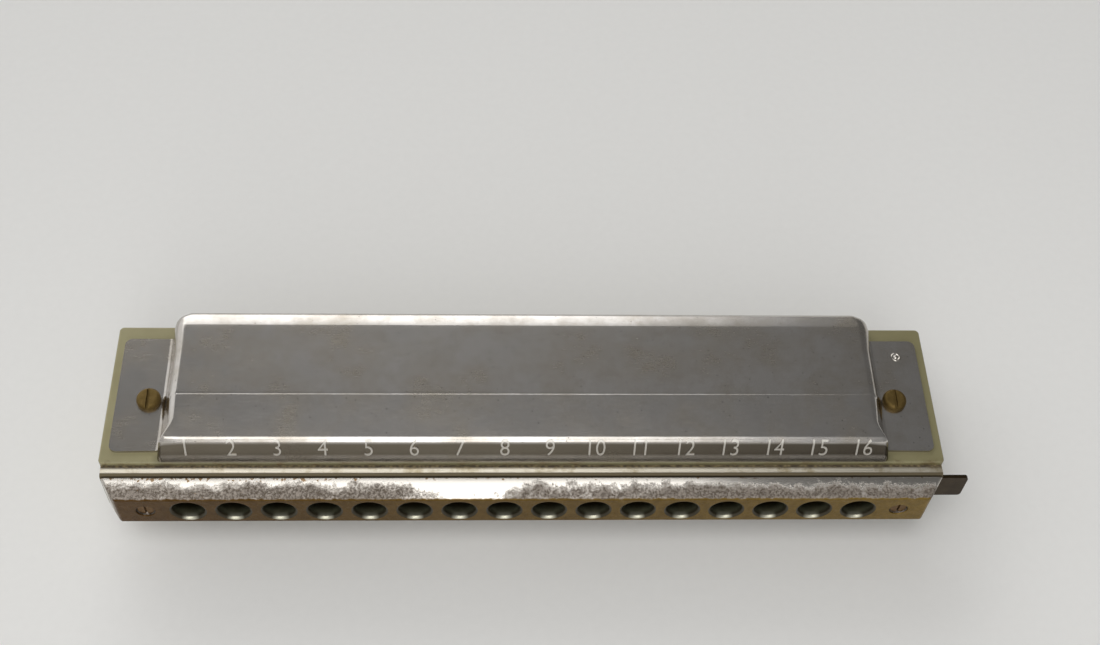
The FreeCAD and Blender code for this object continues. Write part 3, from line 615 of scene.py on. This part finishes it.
def wall(rim, foot, radius):
    """The sheet's outer line from the flat's edge: round the bend, then straight to the foot."""
    way = Vector((foot.x - rim.x, foot.y - rim.y, 0))
    reach = way.length
    way.normalize()
    fall = top_height(rim.y) - top_height(rim.y + 0.01)
    slope = math.atan(fall / 0.01 * way.y)
    middle = Vector((-radius * math.sin(slope), rim.z - radius * math.cos(slope)))
    to_foot = Vector((reach, foot.z)) - middle
    steep = math.atan2(to_foot.x, to_foot.y) - math.acos(radius / to_foot.length)
    points = []
    for step in range(1, bend_steps + 1):
        turn = slope + (steep - slope) * step / bend_steps
        out = middle.x + radius * math.sin(turn)
        points.append(Vector((rim.x, rim.y, middle.y + radius * math.cos(turn))) + way * out)
    return points + [foot.copy()]


def at_height(points, height):
    """Where the straight part of the wall is at a height."""
    top, foot = points[-2], points[-1]
    return top.lerp(foot, (top.z - height) / (top.z - foot.z))


def draw_row(bm, edges, places):
    """Draws a row of edges on to new places, and gives back the new row."""
    made = bmesh.ops.extrude_edge_only(bm, edges=edges)["geom"]
    fresh = {g for g in made if isinstance(g, bmesh.types.BMVert)}
    for v in fresh:
        v.co = places(v[post])
    return [g for g in made if isinstance(g, bmesh.types.BMEdge) and all(v in fresh for v in g.verts)]


bm = bmesh.new()
start = Matrix.Rotation(math.pi / 4 / corner_steps, 4, "Z")
bmesh.ops.create_circle(bm, cap_ends=True, radius=1, segments=4 * corner_steps, matrix=start)
for v in bm.verts:
    side = math.copysign(1, v.co.x)
    end = math.copysign(1, v.co.y)
    share = math.atan2(abs(v.co.y), abs(v.co.x)) / (math.pi / 2)
    turn = (share * corner_steps - 0.5) / (corner_steps - 1) * math.pi / 2
    radius = foot_radius_front if end < 0 else foot_radius_back
    line = foot_front + radius if end < 0 else foot_back - radius
    v.co = (side * (foot_half - radius + radius * math.cos(turn)), line + end * radius * math.sin(turn),
            comb_top)
ends = [e for e in bm.edges if e.calc_length() > 10 and abs(e.verts[0].co.x - e.verts[1].co.x) < 0.01]
bmesh.ops.subdivide_edges(bm, edges=ends, cuts=end_stations)
low, high = foot_front + foot_radius_front, foot_back - foot_radius_back
stations = [y for y, _ in crease_line[:-1]] + [roll_start, corner_end, roll_end]
foot_places = [low + (y - flat_y(low)) / (flat_y(high) - flat_y(low)) * (high - low) for y in stations]
for y in foot_places + [flange_front, flange_back]:
    bmesh.ops.bisect_plane(bm, geom=bm.verts[:] + bm.edges[:] + bm.faces[:],
                           plane_co=(0, y, 0), plane_no=(0, 1, 0))
for x in (-opening_half, opening_half):
    bmesh.ops.bisect_plane(bm, geom=bm.verts[:] + bm.edges[:] + bm.faces[:],
                           plane_co=(x, 0, 0), plane_no=(1, 0, 0))
beside_opening = [e for e in bm.edges if all(v.co.y > foot_back - 0.01 for v in e.verts)
                  and 1 < e.calc_length() < 10]
bmesh.ops.subdivide_edges(bm, edges=beside_opening, cuts=opening_stations)
post = bm.verts.layers.int.new("post")
feet = []
lines_down = []
for v in bm.verts:
    v[post] = len(feet)
    foot = v.co.copy()
    feet.append(foot)
    boundary = any(e.is_boundary for e in v.link_edges)
    if boundary:
        v.co = on_flat(foot)
        lines_down.append(wall(v.co, foot, bend_at(foot)))
    else:
        y = flat_y(foot.y)
        v.co = Vector((foot.x, y, top_height(y)))
        lines_down.append(None)

row = [e for e in bm.edges if e.is_boundary]
for step in range(bend_steps):
    row = draw_row(bm, row, lambda i: lines_down[i][step])
hem = [e for e in row if all(abs(feet[v[post]].x) <= opening_half + 0.01 and feet[v[post]].y > foot_back - 0.1
                                for v in e.verts)]
row = [e for e in row if e not in hem]
for step in range(1, hem_steps + 1):
    turn = math.radians(180 * step / hem_steps)
    hem = draw_row(bm, hem, lambda i: Vector((
        lines_down[i][-2].x,
        foot_back - hem_radius + hem_radius * math.cos(turn),
        lines_down[i][-2].z - hem_radius * math.sin(turn))))

flange_level = comb_top + sheet
row = draw_row(bm, row, lambda i: at_height(lines_down[i], flange_level + fillet))
flange = [e for e in row
          if all(abs(abs(feet[v[post]].x) - foot_half) < 0.01
                 and flange_front - 0.01 < feet[v[post]].y < flange_back + 0.01 for v in e.verts)]
row = [e for e in row if e not in flange]
draw_row(bm, row, lambda i: feet[i])
for step in range(1, fillet_steps + 1):
    share = step / fillet_steps

    def in_fillet(i):
        corner = at_height(lines_down[i], flange_level)
        side = Vector((math.copysign(fillet, feet[i].x), 0, 0))
        above = at_height(lines_down[i], flange_level + fillet)
        return above.lerp(corner, share).lerp(corner.lerp(corner + side, share), share)

    flange = draw_row(bm, flange, in_fillet)
flange = draw_row(bm, flange, lambda i: Vector((math.copysign(flange_half, feet[i].x), feet[i].y,
                                                flange_level)))
for side in (-1, 1):
    strips = [f for f in bm.faces if all(abs(v.co.z - flange_level) < 0.001 for v in f.verts)
              and f.calc_center_median().x * side > 0]
    bmesh.ops.dissolve_faces(bm, faces=strips, use_verts=True)
outer_corners = [v for v in bm.verts if abs(abs(v.co.x) - flange_half) < 0.001]
bmesh.ops.bevel(bm, geom=outer_corners, offset=flange_radius, segments=6, profile=0.5,
                affect="VERTICES", material=-1)
bmesh.ops.remove_doubles(bm, verts=bm.verts, dist=0.0005)
bm.normal_update()
bmesh.ops.recalc_face_normals(bm, faces=bm.faces)
# The shell is open below, so its outside is the side whose faces look up, taken over the whole shell.
if sum(f.normal.z * f.calc_area() for f in bm.faces) < 0:
    bmesh.ops.reverse_faces(bm, faces=bm.faces)
lower = bm.copy()
upper_cover = in_millimetres(bm, "upper_cover_shell")
bmesh.ops.scale(lower, vec=(1, 1, -1), verts=lower.verts)
bmesh.ops.translate(lower, vec=(0, 0, whole_height), verts=lower.verts)
bmesh.ops.reverse_faces(lower, faces=lower.faces)
lower_cover = in_millimetres(lower, "lower_cover_shell")

# Nickel-plated steel sheet, buffed and long handled: a grey mirror with rub marks along its length,
# cloudy patches of haze and small pits. The rub marks are drawn 0.3 mm apart, so that they show.
buffed_nickel, tree, shader, place = new_material("buffed nickel-plated cover")
rubbing = node(tree, "Mapping", {"Vector": place,
                                 "Scale": (1 / (2.5 * mm), 1 / (0.25 * mm), 1 / (0.25 * mm))})
rubs = node(tree, "TexNoise", {"Vector": rubbing.outputs[0], "Scale": 1.0, "Detail": 3.0, "Roughness": 0.6})
haze = node(tree, "TexNoise", {"Vector": place, "Scale": 1 / (11 * mm), "Detail": 5.0, "Roughness": 0.65})
cell = node(tree, "TexVoronoi", {"Vector": place, "Scale": 1 / (1.7 * mm)})
pit = node(tree, "MapRange", {"Value": cell.outputs["Distance"], "From Min": 0.05, "From Max": 0.1,
                              "To Min": 0.7, "To Max": 0.0})
cloudy = node(tree, "MapRange", {"Value": haze.outputs["Fac"], "From Min": 0.4, "From Max": 0.68})
tone = node(tree, "Mix", {0: cloudy.outputs[0], 6: linear("#C4C0BB"), 7: linear("#ABA499")}, data_type="RGBA")
colour = node(tree, "Mix", {0: pit.outputs[0], 6: tone.outputs[2], 7: linear("#4A4238")}, data_type="RGBA")
where = node(tree, "SeparateXYZ", {0: place})
# Painted reflection on the front wall: a dark film, thinner at the foot, stands in for the dark things it
# would mirror, and painted shade makes it darker towards the high notes.
lip_pitting_and_painted_wall = node(tree, "MapRange", {"Value": where.outputs["Y"], "From Min": -19.75 * mm, "From Max": -20.0 * mm})
above_foot = node(tree, "MapRange", {"Value": where.outputs["Y"], "From Min": -20.95 * mm,
                                     "From Max": -20.75 * mm, "To Min": 0.45, "To Max": 1.0})
film = node(tree, "Math", {0: lip_pitting_and_painted_wall.outputs[0], 1: above_foot.outputs[0]}, operation="MULTIPLY")
along = node(tree, "MapRange", {"Value": where.outputs["X"], "From Min": 0.0, "From Max": 70 * mm})
painted_wall_tone = node(tree, "Mix", {0: along.outputs[0], 6: linear("#756E62"), 7: linear("#544E45")},
              data_type="RGBA")
with_painted_wall = node(tree, "Mix", {0: film.outputs[0], 6: colour.outputs[2], 7: painted_wall_tone.outputs[2]}, data_type="RGBA")
tree.links.new(with_painted_wall.outputs[2], shader.inputs["Base Color"])
shader.inputs["Metallic"].default_value = 1.0
base = node(tree, "MapRange", {"Value": rubs.outputs["Fac"], "From Min": 0.3, "From Max": 0.75,
                               "To Min": 0.17, "To Max": 0.23})
rough = node(tree, "Math", {0: cloudy.outputs[0], 1: 0.08, 2: base.outputs[0]}, operation="MULTIPLY_ADD")
tree.links.new(rough.outputs[0], shader.inputs["Roughness"])
waves = node(tree, "TexNoise", {"Vector": place, "Scale": 1 / (14 * mm), "Detail": 1.0})
swell = node(tree, "Bump", {"Height": waves.outputs["Fac"], "Strength": 1.0, "Distance": 0.12 * mm})
relief = node(tree, "Bump", {"Height": rubs.outputs["Fac"], "Normal": swell.outputs[0],
                             "Strength": 0.15, "Distance": 0.005 * mm})
tree.links.new(relief.outputs[0], shader.inputs["Normal"])

for piece, replaced in ((upper_cover, "upper_cover"), (lower_cover, "lower_cover")):
    walls = piece.modifiers.new("sheet", "SOLIDIFY")
    walls.thickness = sheet * mm
    walls.offset = -1
    walls.use_even_offset = True
    broken = piece.modifiers.new("broken edges", "BEVEL")
    broken.width = edge_break * mm
    broken.segments = 3
    broken.limit_method = "ANGLE"
    broken.angle_limit = math.radians(50)
    even = piece.modifiers.new("even shading", "WEIGHTED_NORMAL")
    even.keep_sharp = False
    piece.data.materials.append(buffed_nickel)
    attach(piece, "instrument")
    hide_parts(replaced)

# Numbers 1 to 16 stamped from inside the upper cover, one over each hole: thin raised strokes that
# run up the front wall and on to its bend.
digit_height = 4.4
digit_width = 0.74
digit_foot = 2.05
digit_raise = 0.16
digit_sunk = 0.1
digit_rows = 14
digit_share = 0.7          # a digit's height in the built-in font, as a share of the text size
stroke_trim = -0.05        # makes the strokes thinner than the font draws them
front_foot = Vector((0, foot_front, comb_top))
front_rim = on_flat(front_foot)
front_line = wall(front_rim, front_foot, bend_front)
front_line.reverse()


def up_front(height):
    """Point and outward direction on the front, a distance up along the sheet from its foot."""
    left = height
    for low, high in zip(front_line, front_line[1:]):
        step = (high - low).length
        if left <= step:
            along = (high - low) / step
            return low + along * left, Vector((0, -along.z, along.y))
        left -= step
    return front_line[-1], Vector((0, -1, 0))


# The strokes are rubbed bright and a little rough, so that they stay light against the mirror behind them.
rubbed_nickel, tree, shader, place = new_material("rubbed nickel digits")
rubbing = node(tree, "TexNoise", {"Vector": place, "Scale": 1 / (0.4 * mm), "Detail": 3.0})
bright = node(tree, "Mix", {0: rubbing.outputs["Fac"], 6: linear("#BDB8AF"), 7: linear("#E2DFD8")},
              data_type="RGBA")
tree.links.new(bright.outputs[2], shader.inputs["Base Color"])
shader.inputs["Metallic"].default_value = 1.0
shader.inputs["Roughness"].default_value = 0.42

bm = bmesh.new()
for number, x in enumerate(hole_places, 1):
    text = bpy.data.curves.new("digits", "FONT")
    text.body = str(number)
    text.align_x = "CENTER"
    text.size = digit_height / digit_share
    text.extrude = 0.5
    text.offset = stroke_trim
    text.resolution_u = 4
    rough_digits = bpy.data.objects.new("rough_digits", text)
    digits = bpy.data.meshes.new_from_object(rough_digits)
    digits.transform(Matrix.Translation((x, 0, 0)) @ Matrix.Diagonal((digit_width, 1, 1, 1)))
    bm.from_mesh(digits)
    bpy.data.objects.remove(rough_digits)
for cut_row in range(1, digit_rows):
    bmesh.ops.bisect_plane(bm, geom=bm.verts[:] + bm.edges[:] + bm.faces[:],
                           plane_co=(0, digit_height * cut_row / digit_rows, 0), plane_no=(0, 1, 0))
for v in bm.verts:
    at, out = up_front(v.co.y + digit_foot)
    v.co = Vector((v.co.x, at.y, at.z)) + out * (digit_raise if v.co.z > 0 else -digit_sunk)
bmesh.ops.remove_doubles(bm, verts=bm.verts, dist=0.001)
bmesh.ops.recalc_face_normals(bm, faces=bm.faces)
numbers = in_millimetres(bm, "upper_cover_numbers", rubbed_nickel)
numbers.data.shade_flat()
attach(numbers, "instrument")


# A small round pip pressed up in the right flange, behind the bolt: a low dome in a shallow ring.
pip_place = Vector((83.2, 5.1, flange_level))
pip_profile = ((0.0, 0.3), (0.2, 0.28), (0.4, 0.16), (0.52, 0.03), (0.62, 0.02), (0.74, 0.14), (0.88, 0.2),
               (1.0, 0.16), (1.12, 0.04), (1.2, -0.12))
bm = bmesh.new()
path = [bm.verts.new(pip_place + Vector((out, 0, rise))) for out, rise in pip_profile]
edges = [bm.edges.new(pair) for pair in zip(path, path[1:])]
bmesh.ops.spin(bm, geom=path + edges, cent=pip_place, axis=(0, 0, 1), angle=2 * math.pi, steps=32,
               use_merge=True)
bmesh.ops.remove_doubles(bm, verts=bm.verts, dist=0.001)
bmesh.ops.holes_fill(bm, edges=[e for e in bm.edges if e.is_boundary], sides=0)
bmesh.ops.recalc_face_normals(bm, faces=bm.faces)
pip = in_millimetres(bm, "upper_cover_pip", buffed_nickel)
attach(pip, "instrument")


# ------------------------------------------------------------------ cover bolts and nuts
# Two brass bolts with slotted round heads pass through both covers and the comb, with hexagon nuts below.
# Brass left to age: deep brown, mottled lighter and darker in fine blotches.

aged_brass, tree, shader, place = new_material("aged brass bolt")
patina = node(tree, "TexNoise", {"Vector": place, "Scale": 1 / (1.1 * mm), "Detail": 6.0, "Roughness": 0.7})
fine = node(tree, "TexNoise", {"Vector": place, "Scale": 1 / (0.3 * mm), "Detail": 3.0})
brass = node(tree, "Mix", {0: patina.outputs["Fac"], 6: linear("#453615"), 7: linear("#8C764A")},
             data_type="RGBA")
tree.links.new(brass.outputs[2], shader.inputs["Base Color"])
shader.inputs["Metallic"].default_value = 1.0
dull = node(tree, "MapRange", {"Value": fine.outputs["Fac"], "To Min": 0.5, "To Max": 0.72})
tree.links.new(dull.outputs[0], shader.inputs["Roughness"])
relief = node(tree, "Bump", {"Height": fine.outputs["Fac"], "Strength": 0.4, "Distance": 0.04 * mm})
tree.links.new(relief.outputs[0], shader.inputs["Normal"])
finish_of(aged_brass, "cover_bolts", "cover_nuts")


# ------------------------------------------------------------------ table, light and camera
# A matt pale table, one soft box overhead to the left and another in front. The room is dim above the
# back and paler low down behind and to the far left, which is what the nickel has to mirror.

table_half = 3000

bm = bmesh.new()
bmesh.ops.create_grid(bm, x_segments=1, y_segments=1, size=table_half)
table = in_millimetres(bm, "table_top")
table_paint, tree, shader, place = new_material("matt pale table")
speck = node(tree, "TexNoise", {"Vector": place, "Scale": 1 / (2 * mm), "Detail": 3.0})
pale = node(tree, "Mix", {0: speck.outputs["Fac"], 6: linear("#E6E5E2"), 7: linear("#EAE9E6")},
            data_type="RGBA")
tree.links.new(pale.outputs[2], shader.inputs["Base Color"])
shader.inputs["Roughness"].default_value = 0.9
table.data.materials.append(table_paint)

for name, place, size, power in (("overhead_box", (-0.12, -0.325, 0.85), (0.58, 0.6), 2.3),
                                 ("front_box", (-0.02, -0.83, 0.48), (0.36, 0.7), 1.7)):
    lamp = bpy.data.lights.new(name, "AREA")
    lamp.shape = "RECTANGLE"
    lamp.size, lamp.size_y = size
    lamp.energy = power
    holder = bpy.data.objects.new(name, lamp)
    holder.location = place
    if name == "front_box":
        holder.rotation_euler = (-Vector(place)).to_track_quat("-Z", "Y").to_euler()
    bpy.context.scene.collection.objects.link(holder)

world = bpy.data.worlds.new("room")
world.use_nodes = True
bpy.context.scene.world = world
tree = world.node_tree
way = node(tree, "SeparateXYZ", {0: node(tree, "TexCoord").outputs["Generated"]})
dim = node(tree, "MapRange", {"Value": way.outputs["X"], "From Min": -0.05, "From Max": 0.33,
                              "To Min": 0.31, "To Max": 0.165})
end_dip = node(tree, "MapRange", {"Value": way.outputs["X"], "From Min": -0.12, "From Max": -0.23,
                                  "To Min": 1.0, "To Max": 0.62})
top_dip = node(tree, "MapRange", {"Value": way.outputs["Z"], "From Min": 0.9, "From Max": 0.98,
                                  "To Min": 1.0, "To Max": 0.87})
dips = node(tree, "Math", {0: end_dip.outputs[0], 1: top_dip.outputs[0]}, operation="MULTIPLY")
dimmer = node(tree, "Math", {0: dim.outputs[0], 1: dips.outputs[0]}, operation="MULTIPLY")
far_left = node(tree, "MapRange", {"Value": way.outputs["X"], "From Min": -0.45, "From Max": -0.58})
low = node(tree, "MapRange", {"Value": way.outputs["Z"], "From Min": 0.73, "From Max": 0.64})
left = node(tree, "MapRange", {"Value": way.outputs["X"], "From Min": 0.2, "From Max": 0.05})
window = node(tree, "Math", {0: low.outputs[0], 1: left.outputs[0]}, operation="MULTIPLY")
lit = node(tree, "Mix", {0: window.outputs[0], 2: dimmer.outputs[0], 3: 2.4}, data_type="FLOAT")
behind = node(tree, "Mix", {0: far_left.outputs[0], 2: lit.outputs[0], 3: 1.0}, data_type="FLOAT")
front = node(tree, "MapRange", {"Value": way.outputs["Y"], "From Min": -0.02, "From Max": -0.28})
front_level = node(tree, "MapRange", {"Value": way.outputs["X"], "From Min": 0.1, "From Max": 0.3,
                                      "To Min": 0.62, "To Max": 0.32})
room = node(tree, "Mix", {0: front.outputs[0], 2: behind.outputs[0], 3: front_level.outputs[0]},
            data_type="FLOAT")
tree.links.new(room.outputs[0], tree.nodes["Background"].inputs["Color"])

turn_round = math.radians(-5.0)
look_down = math.radians(55.05)
roll = math.radians(4.32)
distance = 347.2 * mm
sensor_width = 36
focal_length = 49.09
aim = Vector((6.2, 19.5, 15)) * mm
forward = Vector((-math.sin(turn_round) * math.cos(look_down), math.cos(turn_round) * math.cos(look_down),
                  -math.sin(look_down)))
level = forward.cross(Vector((0, 0, 1))).normalized()
upright = level.cross(forward)
across = math.cos(roll) * level + math.sin(roll) * upright
above = math.cos(roll) * upright - math.sin(roll) * level
lens = bpy.data.cameras.new("camera")
lens.sensor_width = sensor_width
lens.lens = focal_length
lens.clip_start = 0.01
camera = bpy.data.objects.new("camera", lens)
camera.matrix_world = Matrix((across, above, -forward)).transposed().to_4x4()
camera.location = aim - forward * distance
bpy.context.scene.collection.objects.link(camera)
bpy.context.scene.camera = camera
bpy.context.scene.view_settings.view_transform = "Standard"
